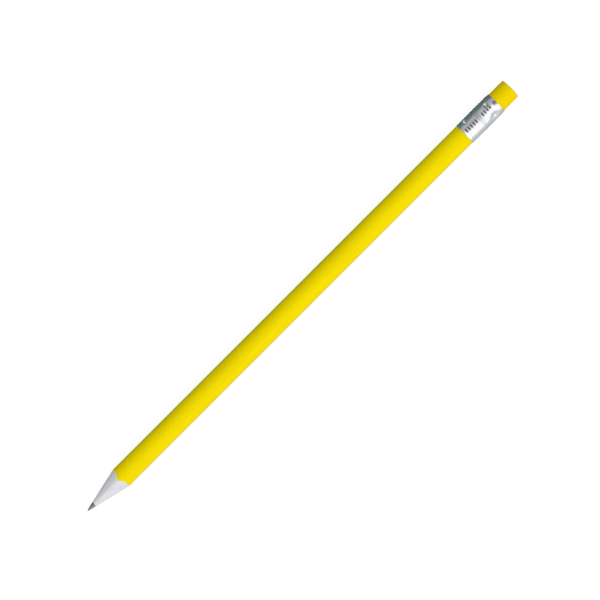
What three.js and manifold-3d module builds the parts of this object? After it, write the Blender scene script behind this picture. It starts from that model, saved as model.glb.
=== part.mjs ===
// A sharpened graphite pencil with a round lacquered barrel, a crimped ferrule and an eraser.
//
// Millimetres, +Z up. The pencil lies on its side: +X runs from the graphite point to the
// eraser, and the origin is on the surface below the middle of its length.
//
// Every piece is drawn in the pencil's own frame first, as if it stood on its point: Y is the
// distance from the point, and an angle of 0 about Y faces +Z. The last group lays it down.

import * as THREE from 'three';
import { mergeVertices } from 'three/addons/utils/BufferGeometryUtils.js';
import Module from 'manifold-3d';

const wasm = await Module();
wasm.setup();

// Driving dimensions: distances from the graphite point
const LENGTH = 187.5;
const WOOD_START = 3.0; // the sharpened wood thins out to nothing on the core
const SHOULDER = 15.08; // the sharpened cone reaches the barrel
const FERRULE_START = 166.9;
const TENON_END = 174.2; // wood and core end here, inside the ferrule
const FERRULE_END = 181.0;

// Driving dimensions: radii
const CORE_RADIUS = 0.86;
const BARREL_RADIUS = 3.65;
const LACQUER_THICKNESS = 0.13;
const FERRULE_RADIUS = 3.83;
const FERRULE_WALL = 0.31;

// The eraser's free end: a rounded edge, a shallow crown and a flat in the middle
const ERASER_ROUNDING = 0.3;
const ERASER_CROWN = 0.2;
const ERASER_FLAT_RADIUS = 1.2;

// Fits
const CLEARANCE = 0.02; // between pieces that touch
const GLUE_THICKNESS = 0.1; // of the film between the two slats

// Rolled rings of the ferrule: two sets of narrow ones, a band between and a band at the end
const NARROW_RING = { halfWidth: 0.3, floorHalfWidth: 0, depth: 0.1 };
const MIDDLE_BAND = { halfWidth: 0.9, floorHalfWidth: 0.3, depth: 0.08 };
const END_BAND = { halfWidth: 0.6, floorHalfWidth: 0.1, depth: 0.14 };
const RING_PITCH = 1.047;
const WOOD_RINGS = { first: 168.05, count: 5 };
const MIDDLE_BAND_AT = 173.7;
const ERASER_RINGS = { first: 175.2, count: 4 };
const END_BAND_AT = 180.1;
const RIM_ROUNDING = 0.06;

// Round crimps that lock the ferrule to the wood and to the eraser; angles in degrees
const CRIMP_DEPTH = 0.35;
const CRIMP_FLOOR = 0.25; // radius of its flat floor; its wall opens outwards at 45 degrees
const CRIMP_SIDES = 10;
const WOOD_CRIMPS = { at: 169.5, count: 3, firstAngle: -49 };
const ERASER_CRIMPS = { at: 177.85, count: 5, firstAngle: -29 };

// The cut edge of the lacquer wanders round the barrel: tongues that reach towards the point.
// Angle and width in degrees, reach in millimetres.
const TONGUES = [
  { angle: -4, width: 16, reach: 1.27 },
  { angle: -26, width: 8, reach: 0.12 },
  { angle: 12, width: 6, reach: 0.2 },
  { angle: 112, width: 14, reach: 0.55 },
  { angle: 150, width: 13, reach: 0.8 },
  { angle: 190, width: 16, reach: 0.5 },
  { angle: 238, width: 15, reach: 0.95 },
  { angle: 286, width: 14, reach: 0.35 },
];

const SIDES = 40; // flats round every turned piece, one of them facing straight down
const REST_HEIGHT = FERRULE_RADIUS * Math.cos(Math.PI / SIDES);

const LACQUER_INNER = BARREL_RADIUS - LACQUER_THICKNESS;
const SLAT_RADIUS = LACQUER_INNER - CLEARANCE;
const BORE_RADIUS = CORE_RADIUS + CLEARANCE;
const FERRULE_INNER = FERRULE_RADIUS - FERRULE_WALL;
const ERASER_RADIUS = FERRULE_INNER - CLEARANCE;
const CONE_LENGTH = SHOULDER - WOOD_START;

const BUMP_TOP = FERRULE_INNER + 0.2 * FERRULE_WALL; // flat tops of the bumps, within the wall

// ---------------------------------------------------------------- shapes

// A body of revolution from an outline of [distance from the point, radius] pairs.
function turned(outline) {
  const profile = outline.map(([along, radius]) => new THREE.Vector2(radius, along));
  return new THREE.LatheGeometry(profile, SIDES, Math.PI / SIDES);
}

// A box between two corners.
function block(low, high) {
  const size = high.map((value, i) => value - low[i]);
  const middle = high.map((value, i) => (value + low[i]) / 2);
  return new THREE.BoxGeometry(...size).translate(...middle);
}

// A closed geometry as a solid that can be joined and cut.
function solidOf(geometry) {
  const bare = geometry.clone();
  bare.deleteAttribute('normal');
  bare.deleteAttribute('uv');
  const welded = mergeVertices(bare);
  return new wasm.Manifold(
    new wasm.Mesh({
      numProp: 3,
      vertProperties: welded.attributes.position.array,
      triVerts: new Uint32Array(welded.index.array),
    }),
  );
}

// A solid as a geometry that a mesh can show.
function geometryOf(solid) {
  const { vertProperties, triVerts } = solid.getMesh();
  const geometry = new THREE.BufferGeometry();
  geometry.setAttribute('position', new THREE.BufferAttribute(vertProperties, 3));
  geometry.setIndex(new THREE.BufferAttribute(triVerts, 1));
  geometry.computeVertexNormals();
  return geometry;
}

// ---------------------------------------------------------------- the sharpened end

// Where the cone's radius is this much, on the plain cone.
function coneAt(radius) {
  return WOOD_START + (CONE_LENGTH * (radius - CORE_RADIUS)) / (BARREL_RADIUS - CORE_RADIUS);
}

// The smallest turn between two angles in degrees.
function turnBetween(a, b) {
  return THREE.MathUtils.euclideanModulo(a - b + 180, 360) - 180;
}

// Where the cut edge of the lacquer lies at an angle round the barrel.
function shoulderAt(angle) {
  const reaches = TONGUES.map(
    (tongue) => tongue.reach * Math.exp(-((turnBetween(angle, tongue.angle) / tongue.width) ** 2)),
  );
  return reaches.reduce((edge, reach) => edge - reach, SHOULDER);
}

// Stretches the cone end of a turned piece so that it ends on the wandering cut edge: straight
// lines run over the cone from the core's circle to that edge.
function cutToShoulder(geometry) {
  const position = geometry.attributes.position;
  for (let i = 0; i < position.count; i += 1) {
    const along = position.getY(i);
    if (along <= SHOULDER) {
      const angle = THREE.MathUtils.radToDeg(Math.atan2(position.getX(i), position.getZ(i)));
      const stretch = (shoulderAt(angle) - WOOD_START) / CONE_LENGTH;
      position.setY(i, WOOD_START + (along - WOOD_START) * stretch);
    }
  }
  return geometry;
}

// ---------------------------------------------------------------- crimps

// The punch marks of one row of crimps as solid frustums. Each is grown outwards by offset, and
// ends in a flat top at a height above the pencil's axis.
function crimpMarks(row, offset, top) {
  const floorHeight = FERRULE_RADIUS - CRIMP_DEPTH - offset;
  const floorRadius = CRIMP_FLOOR + offset * Math.tan(Math.PI / 8);
  const outline = [
    new THREE.Vector2(0, floorHeight),
    new THREE.Vector2(floorRadius, floorHeight),
    new THREE.Vector2(floorRadius + top - floorHeight, top),
    new THREE.Vector2(0, top),
  ];
  const marks = [];
  for (let i = 0; i < row.count; i += 1) {
    const angle = THREE.MathUtils.degToRad(row.firstAngle + (360 / row.count) * i);
    const mark = new THREE.LatheGeometry(outline, CRIMP_SIDES);
    mark.rotateX(Math.PI / 2).rotateY(angle).translate(0, row.at, 0);
    marks.push(solidOf(mark));
  }
  return marks;
}

// A solid with room for the bumps that one row of crimps makes inside the ferrule.
function clearOfCrimps(solid, row) {
  const bumps = crimpMarks(row, FERRULE_WALL + CLEARANCE, FERRULE_RADIUS);
  return bumps.reduce((left, bump) => left.subtract(bump), solid);
}

// ---------------------------------------------------------------- pieces

// The graphite core: a rod with a blunt, slightly convex sharpened point.
function graphiteCore() {
  return turned([
    [0, 0],
    [0.03, 0.11],
    [0.12, 0.18],
    [1.2, 0.46],
    [2.4, 0.72],
    [WOOD_START, CORE_RADIUS],
    [TENON_END, CORE_RADIUS],
    [TENON_END, 0],
  ]);
}

// Both slats and the glue between them as one sleeve round the core. Its bare end is the tenon
// that the ferrule goes over.
function wholeCasing() {
  const sleeve = turned([
    [coneAt(BORE_RADIUS), BORE_RADIUS],
    [coneAt(SLAT_RADIUS), SLAT_RADIUS],
    [TENON_END, SLAT_RADIUS],
    [TENON_END, BORE_RADIUS],
    [coneAt(BORE_RADIUS), BORE_RADIUS],
  ]);
  return clearOfCrimps(solidOf(cutToShoulder(sleeve)), WOOD_CRIMPS);
}

// One grooved slat of the casing: side is 1 for the upper one and -1 for the lower one.
function slat(casing, side) {
  const face = side * (GLUE_THICKNESS / 2 + CLEARANCE);
  const far = side * 2 * BARREL_RADIUS;
  const half = block(
    [-2 * BARREL_RADIUS, 0, Math.min(face, far)],
    [2 * BARREL_RADIUS, LENGTH, Math.max(face, far)],
  );
  return geometryOf(casing.intersect(solidOf(half)));
}

// The cured glue beside the core, in the joint between the slats: side is -1 for +Y, 1 for -Y.
function glueLine(casing, side) {
  const far = side * 2 * BARREL_RADIUS;
  const film = block(
    [Math.min(0, far), 0, -GLUE_THICKNESS / 2],
    [Math.max(0, far), LENGTH, GLUE_THICKNESS / 2],
  );
  return geometryOf(casing.intersect(solidOf(film)));
}

// The coat of lacquer on the barrel, cut by sharpening at one end and square at the ferrule.
function lacquerCoat() {
  const rear = FERRULE_START - CLEARANCE;
  return cutToShoulder(turned([
    [coneAt(LACQUER_INNER), LACQUER_INNER],
    [coneAt(BARREL_RADIUS), BARREL_RADIUS],
    [rear, BARREL_RADIUS],
    [rear, LACQUER_INNER],
    [coneAt(LACQUER_INNER), LACQUER_INNER],
  ]));
}

// The outline of one ring rolled into the ferrule.
function ringOutline(at, ring) {
  const floor = FERRULE_RADIUS - ring.depth;
  const floorPoints = [[at - ring.floorHalfWidth, floor], [at + ring.floorHalfWidth, floor]];
  return [
    [at - ring.halfWidth, FERRULE_RADIUS],
    ...(ring.floorHalfWidth > 0 ? floorPoints : [[at, floor]]),
    [at + ring.halfWidth, FERRULE_RADIUS],
  ];
}

// The outline of a set of narrow rings.
function narrowRings(set) {
  const places = Array.from({ length: set.count }, (_, i) => set.first + i * RING_PITCH);
  return places.flatMap((at) => ringOutline(at, NARROW_RING));
}

// The metal ferrule: a thin tube with rolled rings and round crimps pressed through its wall.
function ferrule() {
  const tube = solidOf(turned([
    [FERRULE_START, FERRULE_INNER],
    [FERRULE_START, FERRULE_RADIUS - RIM_ROUNDING],
    [FERRULE_START + RIM_ROUNDING, FERRULE_RADIUS],
    ...narrowRings(WOOD_RINGS),
    ...ringOutline(MIDDLE_BAND_AT, MIDDLE_BAND),
    ...narrowRings(ERASER_RINGS),
    ...ringOutline(END_BAND_AT, END_BAND),
    [FERRULE_END - RIM_ROUNDING, FERRULE_RADIUS],
    [FERRULE_END, FERRULE_RADIUS - RIM_ROUNDING],
    [FERRULE_END, FERRULE_INNER],
    [FERRULE_START, FERRULE_INNER],
  ]));
  let shell = tube;
  for (const row of [WOOD_CRIMPS, ERASER_CRIMPS]) {
    for (const bump of crimpMarks(row, FERRULE_WALL, BUMP_TOP)) {
      shell = shell.add(bump);
    }
    for (const dent of crimpMarks(row, 0, FERRULE_RADIUS + CRIMP_DEPTH)) {
      shell = shell.subtract(dent);
    }
  }
  return geometryOf(shell);
}

// Points on the eraser's free end, from its side to the edge of its middle flat.
function eraserEnd() {
  const crownRadius = ERASER_RADIUS - ERASER_ROUNDING;
  const crownEdge = LENGTH - ERASER_CROWN;
  const steps = 4;
  const points = [];
  for (let i = 0; i <= steps; i += 1) {
    const angle = (Math.PI / 2) * (i / steps);
    points.push([
      crownEdge - ERASER_ROUNDING * (1 - Math.sin(angle)),
      crownRadius + ERASER_ROUNDING * Math.cos(angle),
    ]);
  }
  for (let i = 1; i <= steps; i += 1) {
    const inwards = i / steps;
    points.push([
      crownEdge + ERASER_CROWN * Math.sin((Math.PI / 2) * inwards),
      THREE.MathUtils.lerp(crownRadius, ERASER_FLAT_RADIUS, inwards),
    ]);
  }
  return points;
}

// The eraser: a plug gripped by the ferrule.
function eraser() {
  const plugStart = TENON_END + CLEARANCE;
  const plug = solidOf(turned([
    [plugStart, 0],
    [plugStart, ERASER_RADIUS],
    ...eraserEnd(),
    [LENGTH, 0],
  ]));
  return geometryOf(clearOfCrimps(plug, ERASER_CRIMPS));
}

// ---------------------------------------------------------------- materials

function finish(color, roughness, metalness) {
  return new THREE.MeshStandardMaterial({ color, roughness, metalness });
}

const yellowLacquer = () => finish('#f0d90c', 0.45, 0);
const paleWood = () => finish('#dcdddf', 0.8, 0);
const driedGlue = () => finish('#e6e0cc', 0.6, 0);
const graphite = () => finish('#73787c', 0.45, 0.2);
const aluminium = () => finish('#c9cccd', 0.3, 1);
const yellowRubber = () => finish('#f2cf1c', 0.85, 0);

// ---------------------------------------------------------------- the pencil

function piece(name, geometry, material) {
  const mesh = new THREE.Mesh(geometry, material);
  mesh.name = name;
  return mesh;
}

function pencil() {
  const casing = wholeCasing();
  const lying = new THREE.Group();
  lying.add(
    piece('graphite_core', graphiteCore(), graphite()),
    piece('casing_upper', slat(casing, 1), paleWood()),
    piece('casing_lower', slat(casing, -1), paleWood()),
    piece('glue_line_left', glueLine(casing, -1), driedGlue()),
    piece('glue_line_right', glueLine(casing, 1), driedGlue()),
    piece('lacquer_coat', lacquerCoat(), yellowLacquer()),
    piece('ferrule', ferrule(), aluminium()),
    piece('eraser', eraser(), yellowRubber()),
  );
  lying.rotation.z = -Math.PI / 2;
  lying.position.set(-LENGTH / 2, 0, REST_HEIGHT);
  return new THREE.Group().add(lying);
}

export default pencil();
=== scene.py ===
"""A sharpened graphite pencil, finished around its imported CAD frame.

The pencil lies along X with its point at -X. Lengths below are in millimetres, and "along" is
the distance from the graphite point. An angle of 0 round the pencil faces +Z, and a positive
angle turns towards -Y.
"""
import math

import bpy
import numpy as np
from mathutils import Matrix, Vector, noise


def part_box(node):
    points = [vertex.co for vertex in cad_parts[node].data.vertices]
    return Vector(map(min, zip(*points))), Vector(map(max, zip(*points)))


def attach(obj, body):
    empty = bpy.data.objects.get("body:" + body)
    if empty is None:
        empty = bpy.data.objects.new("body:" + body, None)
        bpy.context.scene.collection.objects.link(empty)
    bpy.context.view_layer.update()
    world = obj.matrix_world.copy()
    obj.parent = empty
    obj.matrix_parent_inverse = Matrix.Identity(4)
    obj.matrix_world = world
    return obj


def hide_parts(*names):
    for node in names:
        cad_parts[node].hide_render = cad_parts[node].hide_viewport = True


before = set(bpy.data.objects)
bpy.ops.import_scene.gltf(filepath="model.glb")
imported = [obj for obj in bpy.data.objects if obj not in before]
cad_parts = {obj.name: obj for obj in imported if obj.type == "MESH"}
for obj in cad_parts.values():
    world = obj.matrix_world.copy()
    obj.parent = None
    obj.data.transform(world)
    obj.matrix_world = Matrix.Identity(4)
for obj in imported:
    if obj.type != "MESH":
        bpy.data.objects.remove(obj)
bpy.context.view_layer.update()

MM = 0.001
FLATS = 40  # sides of the frame's turned pieces
SIDES = 192  # sides of the finished ones


# ---------------------------------------------------------------- sizes from the frame

def span(node):
    """Where a node starts and ends along the pencil, in millimetres from the point."""
    low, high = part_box(node)
    return (low.x - POINT_X) / MM, (high.x - POINT_X) / MM


def radius_of(node):
    """The radius of a turned node, in millimetres."""
    low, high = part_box(node)
    return (high.y - low.y) / 2 / MM / math.cos(math.pi / FLATS)


POINT_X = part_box("graphite_core")[0].x
AXIS_Z = (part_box("ferrule")[0].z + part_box("ferrule")[1].z) / 2

CORE_END = span("graphite_core")[1]
FERRULE_START, FERRULE_END = span("ferrule")
LACQUER_END = span("lacquer_coat")[1]
ERASER_START, LENGTH = span("eraser")

CORE_R = radius_of("graphite_core")
WOOD_R = radius_of("casing_upper")
BARREL_R = radius_of("lacquer_coat")
FERRULE_R = radius_of("ferrule")
ERASER_R = radius_of("eraser")

# sizes that the frame's boxes don't show
WOOD_START = 2.87  # the sharpened wood thins out to nothing on the core
SHOULDER = 15.08  # the cut edge of the lacquer, between its tongues
LACQUER_INNER_R = BARREL_R - 0.13
PRIMER_R = BARREL_R - 0.08  # where the primer ends and the yellow coats begin
GAP = 0.02  # between pieces that are glued or pressed together
BORE_R = CORE_R + GAP
GLUE_HALF = 0.05  # half the thickness of the glue between the slats
FERRULE_WALL = 0.31
OFF_CENTRE = 0.055  # of the core in the wood
POINT_OFF_AXIS = 0.125  # the sharpened point leans this far towards +Y

# tongues of the cut edge of the lacquer: angle and width in degrees, reach in millimetres
TONGUES = [
    (-4, 16, 1.27),
    (-26, 8, 0.12),
    (12, 6, 0.2),
    (112, 14, 0.55),
    (150, 13, 0.8),
    (190, 16, 0.5),
    (238, 15, 0.95),
    (286, 14, 0.35),
]

# narrow rings rolled into the ferrule: place, half width, depth
RING_PITCH = 1.047
RING_SHARPNESS = 1.25  # 1 is a plain V, and more rounds its upper edges
WOOD_RINGS = [(168.05 + i * RING_PITCH, 0.36, 0.13) for i in range(5)]
ERASER_RINGS = [(175.2 + i * RING_PITCH, 0.32, 0.11) for i in range(4)]
MIDDLE_BAND = (173.7, 1.0, 0.05, 0.065)  # place, half width, half width of the floor, depth
END_GROOVE = (179.7, 180.8, 180.92, 0.16)  # start, deepest place, end, depth

# crimps pressed into the ferrule: place, angle in degrees, depth and radius of the pointed punch
# mark, depth and radius of the dish that is drawn in round it
WOOD_CRIMPS_AT = 169.5
ERASER_CRIMPS_AT = 177.85
CRIMPS = [
    (WOOD_CRIMPS_AT, -47, 1.30, 1.00, 0.0, 1.0),
    (WOOD_CRIMPS_AT, 71, 0.40, 0.70, 0.02, 1.0),
    (WOOD_CRIMPS_AT, 191, 0.75, 0.85, 0.03, 1.1),
    (ERASER_CRIMPS_AT, -29, 0.66, 0.92, 0.12, 1.2),
    (ERASER_CRIMPS_AT, 45, 0.08, 0.60, 0.68, 1.85),
    (ERASER_CRIMPS_AT, 115, 0.50, 0.75, 0.06, 1.0),
    (ERASER_CRIMPS_AT, 187, 0.55, 0.85, 0.20, 1.3),
    (ERASER_CRIMPS_AT, 259, 0.45, 0.75, 0.04, 1.0),
]
RIM_WIDTH = 0.6  # crimps fade out over this last stretch of the ferrule
DENT_WIDER = 0.15  # the wood and the rubber give way this much wider than the crimps
DENT_DEEPER = 1.06  # and this many times as deep


# ---------------------------------------------------------------- helpers for shapes

def ripple(along, angle, radius, stretch, seed):
    """Smooth noise from -1 to 1 on the pencil's surface, stretched along the pencil."""
    out = np.empty(np.broadcast(along, angle, radius).shape)
    along, angle, radius = np.broadcast_arrays(along, angle, radius)
    for index, (a, t, r) in enumerate(zip(along.flat, angle.flat, radius.flat)):
        point = Vector((a / stretch + seed, r * math.sin(t), r * math.cos(t) - seed))
        out.flat[index] = noise.noise(point)
    return out


def smooth_step(low, high, value):
    t = np.clip((value - low) / (high - low), 0, 1)
    return t * t * (3 - 2 * t)


def shoulder_at(angle):
    """Where the cut edge of the lacquer lies at an angle in radians."""
    turn = np.degrees(angle)
    edge = np.full(np.shape(angle), SHOULDER, dtype=float)
    for at, width, reach in TONGUES:
        apart = (turn - at + 180) % 360 - 180
        edge -= reach * np.exp(-(apart / width) ** 2)
    return edge


def cut_surface(radius, angle):
    """Where the sharpened surface has this radius at this angle: straight from core to shoulder."""
    share = (radius - CORE_R) / (BARREL_R - CORE_R)
    return WOOD_START + share * (shoulder_at(angle) - WOOD_START)


def crimp_depth(along, angle, wider=0.0):
    """How far the crimps press in at a place, if each is so much wider. The rim stays round."""
    depth = np.zeros(np.broadcast(along, angle).shape)
    for at, turn, punch, punch_r, dish, dish_r in CRIMPS:
        apart = (angle - math.radians(turn) + math.pi) % (2 * math.pi) - math.pi
        distance = np.clip(np.hypot(along - at, FERRULE_R * apart) - wider, 0, None)
        depth += punch * np.clip(1 - distance / punch_r, 0, None)
        depth += dish * np.exp(-((distance / dish_r) ** 2))
    return depth * (1 - smooth_step(FERRULE_END - RIM_WIDTH, FERRULE_END, along))


def dent_under_crimps(along, angle):
    """How far the wood or the rubber gives way: a little wider and deeper than the ferrule."""
    return DENT_DEEPER * crimp_depth(along, angle, DENT_WIDER)


def core_edge(angle):
    """The radius of the core's side at an angle: it sits slightly off centre, towards +Y."""
    return CORE_R - OFF_CENTRE * np.sin(angle)


def place(along, radius, angle):
    """Points in the frame, in metres, from places on the pencil."""
    x = POINT_X + along * MM
    lean = POINT_OFF_AXIS * np.clip(1 - along / SHOULDER, 0, 1)
    y = (lean - radius * np.sin(angle)) * MM
    z = AXIS_Z + radius * np.cos(angle) * MM
    return np.stack(np.broadcast_arrays(x, y, z), axis=-1)


def make_object(name, points, faces, material, nodes, crease=35):
    """A smooth-shaded piece from points and faces, standing for CAD nodes."""
    mesh = bpy.data.meshes.new(name)
    mesh.from_pydata([tuple(p) for p in points], [], faces)
    mesh.validate()
    mesh.polygons.foreach_set("use_smooth", [True] * len(mesh.polygons))
    mesh.set_sharp_from_angle(angle=math.radians(crease))
    mesh.materials.append(material)
    piece = bpy.data.objects.new(name, mesh)
    bpy.context.scene.collection.objects.link(piece)
    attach(piece, "root")
    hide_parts(*nodes)
    return piece


def ring_faces(rows, columns):
    """Quads between rows of points, each row running round the pencil or a bar."""
    faces = []
    for i in range(rows - 1):
        this, following = i * columns, (i + 1) * columns
        for j in range(columns):
            k = (j + 1) % columns
            faces.append((this + j, this + k, following + k, following + j))
    return faces


def turned(outline, shape):
    """Points and faces of a body of revolution.

    outline is a list of (along, radius). One that starts and ends on the axis is closed there,
    and any other closes on itself. shape(along, radius, angle) returns the finished along and
    radius.
    """
    angle = np.arange(SIDES) * 2 * math.pi / SIDES
    closed_on_axis = outline[0][1] == 0
    body = outline[1:-1] if closed_on_axis else outline + outline[:1]
    along = np.array([p[0] for p in body], float)[:, None]
    radius = np.array([p[1] for p in body], float)[:, None]
    along, radius = shape(along, radius, angle[None, :])
    points = place(along, radius, angle[None, :]).reshape(-1, 3)
    if not closed_on_axis:
        last = (len(body) - 1) * SIDES
        points = points[:last]
        faces = [tuple(v % last for v in f) for f in ring_faces(len(body), SIDES)]
        return points, faces
    faces = ring_faces(len(body), SIDES)
    first, last = len(points), len(points) + 1
    ends = place(np.array([outline[0][0], outline[-1][0]]), np.zeros(2), np.zeros(2))
    points = np.vstack([points, ends])
    top = (len(body) - 1) * SIDES
    for j in range(SIDES):
        k = (j + 1) % SIDES
        faces.append((first, k, j))
        faces.append((last, top + j, top + k))
    return points, faces


# ---------------------------------------------------------------- pieces

def graphite_core(material):
    """The core, with a blunt, slightly faceted point left by the sharpener."""
    blunt_at, blunt_r = 0.14, 0.18
    fullness = 0.87  # of the cone: 1 is straight, and less is more convex
    point = [(0.02, 0.07), (0.06, 0.13), (blunt_at, blunt_r)]
    cone = [(a, blunt_r + (CORE_R - blunt_r) * ((a - blunt_at) / (WOOD_START - blunt_at)) ** fullness)
            for a in np.linspace(0.3, WOOD_START + 0.6, 30)]
    beyond = 2 * CORE_R  # trimmed back to the core's side by the shape
    side = [(a, beyond) for a in (WOOD_START + 1, SHOULDER, CORE_END)]
    outline = [(0, 0), *point, *cone, *side, (CORE_END, 0)]

    def shape(along, radius, angle):
        sharpened = 1 - smooth_step(WOOD_START - 0.3, WOOD_START + 0.05, along)
        wobble = 0.03 * ripple(along, angle, radius, 0.5, 3.1) * sharpened
        facets = 0.012 * np.cos(5 * angle + 0.7 * along) * sharpened
        return along + 0 * angle, np.minimum(radius * (1 + wobble + facets), core_edge(angle))

    points, faces = turned(outline, shape)
    return make_object("graphite_point_and_core", points, faces, material,
                       ["graphite_core"], crease=50)


def slat(name, node, middle, material):
    """One half of the casing, from the sharpened cone to the tenon in the ferrule."""
    seam = GLUE_HALF + GAP
    cone = np.linspace(0, 1, 44) ** 0.9  # shares of the way up the cone
    crimped = WOOD_CRIMPS_AT + np.linspace(-1.6, 1.6, 23)
    stations = [SHOULDER + 1, 30, 90, 150, FERRULE_START, *crimped, CORE_END]
    steps = 96

    def across(radius):
        """Angles across the half at a radius."""
        reach = math.pi / 2 - math.asin(seam / radius)
        return middle + np.linspace(-reach, reach, steps + 1)

    bore_angle = across(BORE_R)
    bore = core_edge(bore_angle) + GAP
    outer, inner = [], []
    for share in cone:
        angle = across(BORE_R + share * (WOOD_R - BORE_R))
        radius = bore + share * (WOOD_R - bore)
        along = cut_surface(radius, angle)
        grain = 0.012 * ripple(along, angle, radius, 6, 7.7) * math.sin(math.pi * share)
        outer.append(place(along, radius + grain, angle))
        inner.append(place(along, bore, bore_angle))
    for station in stations:
        angle = across(WOOD_R)
        outer.append(place(station, WOOD_R - dent_under_crimps(station, angle), angle))
        inner.append(place(station, bore, bore_angle))

    rows, columns = len(outer), steps + 1
    points = np.vstack([np.vstack(outer), np.vstack(inner[1:])])
    inner_start = (rows - 1) * columns  # the first rows outside and inside are one edge

    def out_at(i, j):
        return i * columns + j

    def in_at(i, j):
        return j if i == 0 else inner_start + i * columns + j

    faces = []
    for i in range(rows - 1):
        for j in range(columns - 1):
            faces.append((out_at(i, j), out_at(i, j + 1), out_at(i + 1, j + 1), out_at(i + 1, j)))
            faces.append((in_at(i + 1, j), in_at(i + 1, j + 1), in_at(i, j + 1), in_at(i, j)))
        for j, flip in ((0, False), (columns - 1, True)):
            side = [out_at(i, j), out_at(i + 1, j), in_at(i + 1, j), in_at(i, j)]
            side = list(dict.fromkeys(side))
            faces.append(tuple(reversed(side)) if flip else tuple(side))
    end = rows - 1
    for j in range(columns - 1):
        faces.append((out_at(end, j), out_at(end, j + 1), in_at(end, j + 1), in_at(end, j)))
    return make_object(name, points, faces, material, [node])


def glue_line(name, node, side, material):
    """The film of dried glue between the slats. side is 1 towards -Y of the core, or else -1."""
    angle = side * math.pi / 2
    bore = core_edge(angle) + GAP
    recess = 0.08  # of its front edge, along the pencil
    fronts = [cut_surface(radius, angle) + recess for radius in (bore, WOOD_R)]
    up = np.array([0, 0, side * GLUE_HALF * MM])
    points = []
    for bore_at, rim_at in (fronts, (SHOULDER, SHOULDER), (CORE_END, CORE_END)):
        at_bore, at_rim = place(bore_at, bore, angle), place(rim_at, WOOD_R, angle)
        points += [at_bore + up, at_rim + up, at_rim - up, at_bore - up]
    faces = ring_faces(3, 4) + [(3, 2, 1, 0), (8, 9, 10, 11)]
    return make_object(name, points, faces, material, [node])


def lacquer(material):
    """The coat of lacquer: a thin sleeve whose cut edge wanders and is slightly ragged."""
    on_the_cut = 0  # stands for wherever the sharpener's cone meets a radius
    thickness = BARREL_R - LACQUER_INNER_R
    bevel = [(on_the_cut, LACQUER_INNER_R + share * thickness)
             for share in (0, 0.25, 0.5, 0.75, 0.93, 1)]
    body = [(a, BARREL_R) for a in (15.3, 16, 20, 60, 110, 150, 165)]
    rear = [(LACQUER_END - 0.08, BARREL_R), (LACQUER_END, BARREL_R - 0.05)]
    inside = [(a, LACQUER_INNER_R) for a in (LACQUER_END, 90, 16)]

    def shape(along, radius, angle):
        ragged = 0.09 * ripple(np.zeros_like(angle) + 2, angle * 3, 3.2, 1, 1.3)
        ragged = ragged + 0.04 * ripple(np.zeros_like(angle) + 5, angle * 9, 3.2, 1, 9.9)
        cut = cut_surface(radius, angle) + ragged
        return np.where(along == on_the_cut, cut, along), radius + 0 * angle

    points, faces = turned(bevel + body + rear + inside, shape)
    return make_object("lacquer_sleeve", points, faces, material, ["lacquer_coat"])


def ring_depth(along):
    """How deep the rolled rings are at a place along the ferrule."""
    depth = np.zeros(np.shape(along))
    for at, half, deep in WOOD_RINGS + ERASER_RINGS:
        depth += deep * np.clip(1 - np.abs(along - at) / half, 0, None) ** RING_SHARPNESS
    at, half, floor_half, deep = MIDDLE_BAND
    depth += deep * (1 - smooth_step(floor_half, half, np.abs(along - at)))
    start, deepest, end, deep = END_GROOVE
    depth += np.interp(along, [start, deepest, end], [0, deep, 0])
    return depth


def ferrule(material):
    """The ferrule: a thin tube with rolled rings, rounded rims and crimps."""
    rim, fine, coarse = 0.1, 0.06, 0.15
    unevenness, band_unevenness = 0.004, 0.025
    narrowing = 0.05  # in radius, at both ends
    middle = (FERRULE_START + FERRULE_END) / 2
    outer = np.arange(FERRULE_START + rim, FERRULE_END - rim + fine / 2, fine)
    inner = np.arange(FERRULE_END - 0.02, FERRULE_START, -coarse)
    arc = np.linspace(0, math.pi / 2, 5)[:-1]
    rims = [(rim * (1 - math.cos(t)), rim * (1 - math.sin(t))) for t in arc]
    front = [(FERRULE_START + a, FERRULE_R - r) for a, r in rims]
    back = [(FERRULE_END - a, FERRULE_R - r) for a, r in reversed(rims)]
    inside = FERRULE_R - FERRULE_WALL
    outline = front + [(a, FERRULE_R) for a in outer] + back
    outline += [(FERRULE_END, inside)] + [(a, inside) for a in inner] + [(FERRULE_START, inside)]

    def shape(along, radius, angle):
        is_outside = radius > inside + 0.01
        near_band = np.exp(-(((along - MIDDLE_BAND[0]) / 0.9) ** 2))
        uneven = unevenness * ripple(along, angle, FERRULE_R * 0.45, 2.2, 4.4)
        uneven = uneven + band_unevenness * near_band * ripple(along, angle, FERRULE_R, 0.45, 8.8)
        taper = narrowing * ((along - middle) / (FERRULE_END - middle)) ** 2
        surface = np.where(is_outside, uneven - ring_depth(along) - taper, 0)
        return along + 0 * angle, radius + surface - crimp_depth(along, angle)

    points, faces = turned(outline, shape)
    return make_object("crimped_ferrule", points, faces, material,
                       ["ferrule"], crease=80)


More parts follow.
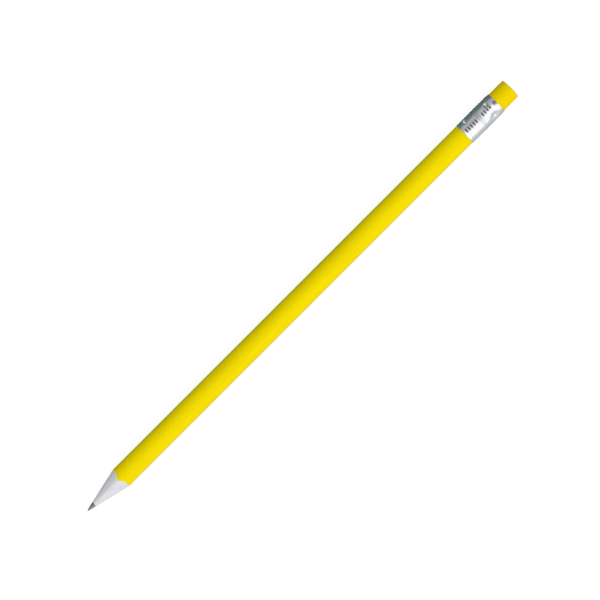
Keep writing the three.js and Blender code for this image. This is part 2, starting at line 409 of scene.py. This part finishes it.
def eraser(material):
    """The eraser: a plug dented by the crimps, with a crowned and rounded free end."""
    rounding, crown = 0.3, 0.2
    edge = LENGTH - crown
    inner_r = ERASER_R - rounding
    held = [(ERASER_START, ERASER_R - 0.1), (ERASER_START + 0.1, ERASER_R)]
    held += [(a, ERASER_R) for a in ERASER_CRIMPS_AT + np.linspace(-2.4, 2.4, 33)]
    side = [(a, ERASER_R) for a in np.linspace(FERRULE_END - 0.4, edge - rounding, 22)]
    arc = [(edge - rounding * (1 - math.sin(t)), inner_r + rounding * math.cos(t))
           for t in np.linspace(0, math.pi / 2, 10)[1:]]
    top = [(edge + crown * math.sin(math.pi / 2 * s), inner_r * (1 - s))
           for s in np.linspace(0, 1, 20)[1:-1]]
    outline = [(ERASER_START, 0)] + held + side + arc + top + [(LENGTH, 0)]

    def shape(along, radius, angle):
        free = smooth_step(FERRULE_END, FERRULE_END + 1.2, along)
        lump = 0.008 * ripple(along, angle, radius, 1.6, 5.5) * free
        dent = dent_under_crimps(along, angle) * smooth_step(0, ERASER_R / 2, radius)
        return along + 0 * angle, radius * (1 + lump) - dent

    points, faces = turned(outline, shape)
    return make_object("eraser_plug", points, faces, material,
                       ["eraser"], crease=60)


# ---------------------------------------------------------------- materials

class Nodes:
    """A node tree that is added to and linked by short calls."""

    def __init__(self, tree):
        self.tree = tree

    def add(self, kind, settings=(), **inputs):
        """A node with its settings made and its inputs set or linked."""
        node = self.tree.nodes.new(kind)
        for key, value in dict(settings).items():
            setattr(node, key, value)
        for key, value in inputs.items():
            self.put(node.inputs[key.replace("_", " ")], value)
        return node

    def put(self, socket, value):
        """Sets a socket, or links an output into it."""
        if isinstance(value, bpy.types.NodeSocket):
            self.tree.links.new(value, socket)
        else:
            socket.default_value = value

    def between(self, value, low, high, out_low=0.0, out_high=1.0, easing="LINEAR"):
        """value mapped from low..high to out_low..out_high, clamped."""
        node = self.add("ShaderNodeMapRange", {"interpolation_type": easing}, Value=value)
        limits = {"From Min": low, "From Max": high, "To Min": out_low, "To Max": out_high}
        for key, number in limits.items():
            node.inputs[key].default_value = number
        return node.outputs["Result"]

    def math(self, operation, first, second=0.0):
        node = self.add("ShaderNodeMath", {"operation": operation})
        self.put(node.inputs[0], first)
        self.put(node.inputs[1], second)
        return node.outputs["Value"]

    def mix(self, factor, first, second):
        """A colour between two colours."""
        node = self.add("ShaderNodeMix", {"data_type": "RGBA"})
        self.put(node.inputs["Factor"], factor)
        self.put(node.inputs["A"], first)
        self.put(node.inputs["B"], second)
        return node.outputs["Result"]


class Shader(Nodes):
    """A material's nodes. Coordinates are in millimetres."""

    def __init__(self, name):
        self.material = bpy.data.materials.new(name)
        self.material.use_nodes = True
        super().__init__(self.material.node_tree)
        self.surface = self.tree.nodes["Principled BSDF"]
        self.coordinates = self.tree.nodes.new("ShaderNodeTexCoord").outputs["Object"]

    def stretched(self, along, across=1.0, shift=0.0):
        """Coordinates in millimetres, scaled along the pencil and across it."""
        scale = (along / MM, across / MM, across / MM)
        return self.add("ShaderNodeMapping", Vector=self.coordinates, Location=(shift,) * 3,
                        Scale=scale).outputs["Vector"]

    def noise(self, coordinates, scale, detail=3.0, roughness=0.5):
        return self.add("ShaderNodeTexNoise", Vector=coordinates, Scale=scale, Detail=detail,
                        Roughness=roughness).outputs["Fac"]

    def radius(self):
        """The distance from the pencil's centre line, in millimetres."""
        parts = self.add("ShaderNodeSeparateXYZ", Vector=self.coordinates)
        up = self.math("SUBTRACT", parts.outputs["Z"], AXIS_Z)
        squares = self.math("ADD", self.math("MULTIPLY", up, up),
                            self.math("MULTIPLY", parts.outputs["Y"], parts.outputs["Y"]))
        return self.math("DIVIDE", self.math("SQRT", squares), MM)

    def along(self):
        """The distance from the graphite point, in millimetres."""
        parts = self.add("ShaderNodeSeparateXYZ", Vector=self.coordinates)
        return self.math("DIVIDE", self.math("SUBTRACT", parts.outputs["X"], POINT_X), MM)

    def bump(self, height, depth_mm, normal=None):
        """Fine relief of a height from 0 to 1, so many millimetres deep."""
        node = self.add("ShaderNodeBump", Height=height, Distance=depth_mm * MM, Strength=1.0)
        if normal:
            self.put(node.inputs["Normal"], normal)
        return node.outputs["Normal"]

    def finish(self, **inputs):
        for key, value in inputs.items():
            self.put(self.surface.inputs[key.replace("_", " ")], value)
        return self.material


def lacquer_material():
    """Satin yellow lacquer, with faint runs along the barrel and a paler primer in its cut edge."""
    s = Shader("yellow_lacquer")
    runs = s.noise(s.stretched(0.05), 1.4, 3)
    cloud = s.noise(s.stretched(0.25, 0.5, 7.0), 0.35, 2)
    peel = s.noise(s.stretched(0.7, 1.0, 3.0), 3.2, 2)
    tint = s.math("ADD", s.math("MULTIPLY", runs, 0.6), s.math("MULTIPLY", cloud, 0.4))
    yellow = s.mix(s.between(tint, 0.35, 0.65), (0.93, 0.737, 0.0006, 1), (0.985, 0.793, 0.0008, 1))
    coat = s.between(s.radius(), PRIMER_R - 0.01, PRIMER_R + 0.01)
    color = s.mix(coat, (0.80, 0.78, 0.70, 1), yellow)
    scuffs = s.noise(s.stretched(0.12, 1.0, 11.0), 6.0, 4, 0.7)
    roughness = s.between(scuffs, 0.3, 0.75, 0.5, 0.66)
    fine = s.bump(peel, 0.004)
    return s.finish(Base_Color=color, Roughness=roughness, Specular_IOR_Level=0.2,
                    Specular_Tint=(1, 0.8, 0, 1), Normal=s.bump(runs, 0.012, fine))


def wood_material():
    """Pale, fine-grained wood with faint growth rings and pores, smudged next to the core."""
    s = Shader("casing_wood")
    fibre = s.noise(s.stretched(0.09), 5.0, 4, 0.6)
    bands = s.add("ShaderNodeTexWave", {"wave_type": "BANDS", "bands_direction": "Z"},
                  Vector=s.stretched(0.03), Scale=0.22, Distortion=2.5, Detail=2.0, Detail_Scale=1.2)
    pores = s.noise(s.stretched(0.22, 1.0, 5.0), 9.0, 2)
    pale = s.mix(s.between(fibre, 0.32, 0.68), (0.75, 0.755, 0.78, 1), (0.86, 0.865, 0.885, 1))
    ringed = s.mix(s.math("MULTIPLY", bands.outputs["Fac"], 0.16), pale, (0.62, 0.61, 0.61, 1))
    pored = s.mix(s.between(pores, 0.60, 0.72, 0.0, 0.4), ringed, (0.46, 0.45, 0.45, 1))
    speckle = s.noise(s.stretched(0.6, 1.0, 2.0), 3.0, 3)
    reach = s.math("ADD", s.along(), s.between(speckle, 0.3, 0.7, -0.3, 0.3))
    smudge = s.between(reach, WOOD_START - 0.1, WOOD_START + 0.4, 0.22, 0.0)
    color = s.mix(smudge, pored, (0.20, 0.21, 0.22, 1))
    relief = s.bump(fibre, 0.03, s.bump(pores, 0.012))
    return s.finish(Base_Color=color, Roughness=s.between(fibre, 0.3, 0.7, 0.72, 0.86),
                    Specular_IOR_Level=0.5, Normal=relief)


def graphite_material():
    """Graphite with a metallic sheen and fine turning marks, a little darker near the wood."""
    s = Shader("graphite")
    turning = s.noise(s.stretched(7.0, 0.6), 1.0, 3, 0.6)
    grain = s.noise(s.stretched(1.0), 9.0, 3, 0.6)
    color = s.mix(s.between(grain, 0.3, 0.7), (0.21, 0.25, 0.26, 1), (0.34, 0.39, 0.40, 1))
    near_wood = s.between(s.along(), 1.6, WOOD_START, 0.0, 0.12)
    color = s.mix(near_wood, color, (0.12, 0.14, 0.15, 1))
    relief = s.bump(turning, 0.012, s.bump(grain, 0.01))
    return s.finish(Base_Color=color, Metallic=0.75, Roughness=s.between(grain, 0.3, 0.7, 0.28, 0.40),
                    Normal=relief)


def ferrule_material():
    """Bright drawn aluminium, turned fine and duller on the middle band, with painted shade and more
    roughness in the rings and crimps.
    """
    s = Shader("ferrule_aluminium")
    turning = s.noise(s.stretched(9.0, 0.25), 1.0, 3, 0.6)
    cloud = s.noise(s.stretched(0.8, 0.8, 3.0), 1.1, 3)
    low = s.between(s.radius(), FERRULE_R - 0.16, FERRULE_R - 0.02, 1.0, 0.0)
    metal = s.mix(s.between(cloud, 0.35, 0.65), (0.83, 0.84, 0.85, 1), (0.90, 0.905, 0.91, 1))
    from_band = s.math("ABSOLUTE", s.math("SUBTRACT", s.along(), MIDDLE_BAND[0]))
    on_band = s.between(from_band, 0.6, 1.1, 1.0, 0.0)
    # painted shade: the metal turns towards grey wherever it lies down in a ring or crimp; the middle
    # band's grey is its own duller finish
    hollow_shade_and_band_dullness = s.math("ADD", s.math("MULTIPLY", low, 0.12), s.math("MULTIPLY", on_band, 0.3))
    color = s.mix(hollow_shade_and_band_dullness, metal, (0.50, 0.51, 0.52, 1))
    bright = s.between(cloud, 0.3, 0.7, 0.07, 0.12)
    duller = s.math("ADD", s.math("MULTIPLY", on_band, 0.26), s.math("MULTIPLY", low, 0.08))
    roughness = s.math("ADD", bright, duller)
    return s.finish(Base_Color=color, Metallic=1.0, Roughness=roughness, Normal=s.bump(turning, 0.0004))


def rubber_material():
    """Matt yellow eraser rubber, a little more orange than the lacquer, with a fine grain."""
    s = Shader("eraser_rubber")
    cloud = s.noise(s.stretched(0.5, 0.7, 1.0), 1.0, 3)
    grain = s.noise(s.stretched(1.0), 7.0, 3, 0.65)
    color = s.mix(s.between(cloud, 0.35, 0.65), (0.93, 0.69, 0.0008, 1), (0.97, 0.735, 0.001, 1))
    crumbs = s.between(grain, 0.62, 0.74, 0.0, 0.12)
    color = s.mix(crumbs, color, (0.70, 0.50, 0.02, 1))
    relief = s.bump(grain, 0.02, s.bump(cloud, 0.05))
    return s.finish(Base_Color=color, Roughness=0.86, Specular_IOR_Level=0.2,
                    Specular_Tint=(1, 0.75, 0, 1), Normal=relief)


def glue_material():
    """Dried white glue in the joint between the slats."""
    s = Shader("casing_glue")
    cloud = s.noise(s.stretched(0.4), 2.0, 3)
    color = s.mix(s.between(cloud, 0.35, 0.65), (0.66, 0.62, 0.52, 1), (0.78, 0.74, 0.64, 1))
    return s.finish(Base_Color=color, Roughness=0.6, Normal=s.bump(cloud, 0.01))


# ---------------------------------------------------------------- studio

# What surrounds the pencil, by the angle round it in degrees from overhead, positive towards the
# bright side. Each entry is (angle, red, green, blue).
SQUARE_ON = [
    (-180, 0.55, 0.55, 0.55),
    (-166, 0.48, 0.48, 0.48),
    (-155, 0.12, 0.13, 0.14),
    (-140, 0.06, 0.07, 0.08),
    (-124, 0.10, 0.12, 0.13),
    (-90, 0.15, 0.18, 0.19),
    (-84, 0.18, 0.20, 0.21),
    (-74, 0.28, 0.29, 0.31),
    (-62, 0.42, 0.42, 0.45),
    (-30, 0.52, 0.52, 0.55),
    (-18, 0.66, 0.67, 0.70),
    (-6, 0.92, 0.92, 0.94),
    (12, 1.10, 1.10, 1.10),
    (72, 1.30, 1.30, 1.30),
    (82, 0.90, 0.91, 0.93),
    (96, 0.62, 0.66, 0.69),
    (130, 0.55, 0.59, 0.60),
    (180, 0.55, 0.55, 0.55),
]
# the same towards the ends of the pencil, where it is dark overhead
BEYOND_ENDS = [
    (-180, 0.55, 0.55, 0.55),
    (-165, 0.40, 0.41, 0.41),
    (-150, 0.05, 0.06, 0.06),
    (-135, 0.06, 0.07, 0.07),
    (-115, 0.14, 0.16, 0.16),
    (-95, 0.15, 0.17, 0.17),
    (-78, 0.30, 0.31, 0.33),
    (-68, 0.43, 0.43, 0.46),
    (-60, 0.46, 0.46, 0.49),
    (-45, 0.48, 0.48, 0.51),
    (-36, 0.25, 0.26, 0.27),
    (-26, 0.06, 0.07, 0.08),
    (4, 0.06, 0.07, 0.08),
    (12, 0.55, 0.55, 0.56),
    (18, 1.10, 1.10, 1.10),
    (74, 1.20, 1.20, 1.20),
    (90, 0.78, 0.79, 0.80),
    (140, 0.40, 0.42, 0.43),
    (180, 0.55, 0.55, 0.55),
]
# something green on the dim side, seen by surfaces that are square on or lean to the point a little
GREEN = (0.085, 0.235, 0.185, 1)
GREEN_SPAN = [(-158, 0), (-148, 1), (-84, 1), (-76, 0)]
BRIGHTEST = 1.4  # a ramp holds colours up to 1, so it holds them divided by this


class Surroundings(Nodes):
    """The world's nodes, which turn a direction into light."""

    def __init__(self):
        world = bpy.data.worlds.new("studio")
        bpy.context.scene.world = world
        world.use_nodes = True
        super().__init__(world.node_tree)
        direction = self.tree.nodes.new("ShaderNodeTexCoord").outputs["Generated"]
        parts = self.add("ShaderNodeSeparateXYZ", Vector=direction)
        self.along = parts.outputs["X"]
        bright_side = self.math("MULTIPLY", parts.outputs["Y"], -1)
        self.angle = self.math("ARCTAN2", bright_side, parts.outputs["Z"])

    def ramp(self, entries):
        """A colour for each angle, from (degrees, red, green, blue)."""
        share = self.math("ADD", self.math("DIVIDE", self.angle, 2 * math.pi), 0.5)
        node = self.tree.nodes.new("ShaderNodeValToRGB")
        stops = node.color_ramp.elements
        while len(stops) < len(entries):
            stops.new(0.5)
        for stop, (degrees, *color) in zip(stops, entries):
            stop.position = degrees / 360 + 0.5
            stop.color = (*[c / BRIGHTEST for c in color], 1)
        self.tree.links.new(share, node.inputs[0])
        return node.outputs["Color"]

    def finish(self, color):
        """Lights the scene with a colour. The camera itself sees plain white behind the floor."""
        lit = self.tree.nodes["Background"]
        self.put(lit.inputs["Color"], color)
        lit.inputs["Strength"].default_value = BRIGHTEST
        seen = self.add("ShaderNodeBackground", Color=(1, 1, 1, 1))
        by_camera = self.add("ShaderNodeLightPath").outputs["Is Camera Ray"]
        chosen = self.add("ShaderNodeMixShader", Fac=by_camera)
        self.put(chosen.inputs[1], lit.outputs[0])
        self.put(chosen.inputs[2], seen.outputs[0])
        self.put(self.tree.nodes["World Output"].inputs["Surface"], chosen.outputs[0])


def studio_surroundings():
    """Soft light from all round: bright on one side, and dim low down on the other."""
    s = Surroundings()
    towards_point = s.between(s.along, -0.32, -0.2, easing="SMOOTHSTEP")
    not_towards_eraser = s.between(s.along, 0.036, 0.028, easing="SMOOTHSTEP")
    green_share = s.ramp([(degrees, *[share * BRIGHTEST] * 3) for degrees, share in GREEN_SPAN])
    green_share = s.math("MULTIPLY", green_share, s.math("MULTIPLY", towards_point, not_towards_eraser))
    green = tuple(c / BRIGHTEST for c in GREEN[:3]) + (1,)
    aside = s.between(s.math("ABSOLUTE", s.along), 0.2, 0.36, easing="SMOOTHSTEP")
    grey = s.mix(aside, s.ramp(SQUARE_ON), s.ramp(BEYOND_ENDS))
    s.finish(s.mix(green_share, grey, green))


def fill_light():
    """A broad soft light from the dim side, nearly overhead."""
    side, distance = 0.7, 1.2
    irradiance = 0.255 * math.pi  # at the pencil
    lean = math.radians(-20)
    data = bpy.data.lights.new("fill", "AREA")
    data.shape = "SQUARE"
    data.size = side
    data.energy = irradiance * math.pi * distance ** 2
    lamp = bpy.data.objects.new("fill", data)
    bpy.context.scene.collection.objects.link(lamp)
    towards = Vector((0, -math.sin(lean), math.cos(lean)))
    lamp.location = distance * towards
    lamp.rotation_euler = towards.to_track_quat("Z", "Y").to_euler()
    lamp.visible_glossy = False
    lamp.visible_camera = False


def floor():
    """A plain pale floor, which throws no light back at the pencil."""
    half, grey, glow = 6.0, 0.24, 0.85
    mesh = bpy.data.meshes.new("floor")
    corners = [(-half, -half, 0), (half, -half, 0), (half, half, 0), (-half, half, 0)]
    mesh.from_pydata(corners, [], [(0, 1, 2, 3)])
    material = bpy.data.materials.new("floor")
    material.use_nodes = True
    surface = material.node_tree.nodes["Principled BSDF"]
    surface.inputs["Base Color"].default_value = (grey, grey, grey, 1)
    surface.inputs["Roughness"].default_value = 1.0
    surface.inputs["Specular IOR Level"].default_value = 0.0
    surface.inputs["Emission Color"].default_value = (1, 1, 1, 1)
    surface.inputs["Emission Strength"].default_value = glow
    mesh.materials.append(material)
    plane = bpy.data.objects.new("floor", mesh)
    bpy.context.scene.collection.objects.link(plane)
    plane.visible_diffuse = False
    plane.visible_glossy = False


def camera():
    """Straight above the pencil, far off with a long lens. The pencil runs up to the right."""
    view_width = 0.188  # of the picture at the pencil's axis, in metres
    lens, sensor = 400.0, 36.0
    distance = view_width * lens / sensor
    turn = math.radians(-45)
    aside, down = 0.144 * MM, 0.176 * MM  # from the pencil's middle to the picture's
    right = Vector((math.cos(turn), math.sin(turn), 0))
    up = Vector((-math.sin(turn), math.cos(turn), 0))
    data = bpy.data.cameras.new("camera")
    data.lens, data.sensor_width = lens, sensor
    data.clip_start, data.clip_end = 0.01, 20
    eye = bpy.data.objects.new("camera", data)
    bpy.context.scene.collection.objects.link(eye)
    middle = Vector((POINT_X + LENGTH * MM / 2, 0, AXIS_Z))
    aim = middle + aside * right - down * up
    axes = Matrix((right, up, Vector((0, 0, 1)))).transposed()
    eye.matrix_world = Matrix.Translation(aim + Vector((0, 0, distance))) @ axes.to_4x4()
    bpy.context.scene.camera = eye


def main():
    wood = wood_material()
    graphite_core(graphite_material())
    slat("slat_upper", "casing_upper", 0.0, wood)
    slat("slat_lower", "casing_lower", math.pi, wood)
    lacquer(lacquer_material())
    ferrule(ferrule_material())
    eraser(rubber_material())
    glue = glue_material()
    glue_line("glue_film_left", "glue_line_left", -1, glue)
    glue_line("glue_film_right", "glue_line_right", 1, glue)
    floor()
    studio_surroundings()
    fill_light()
    camera()
    bpy.context.scene.view_settings.view_transform = "Standard"


main()
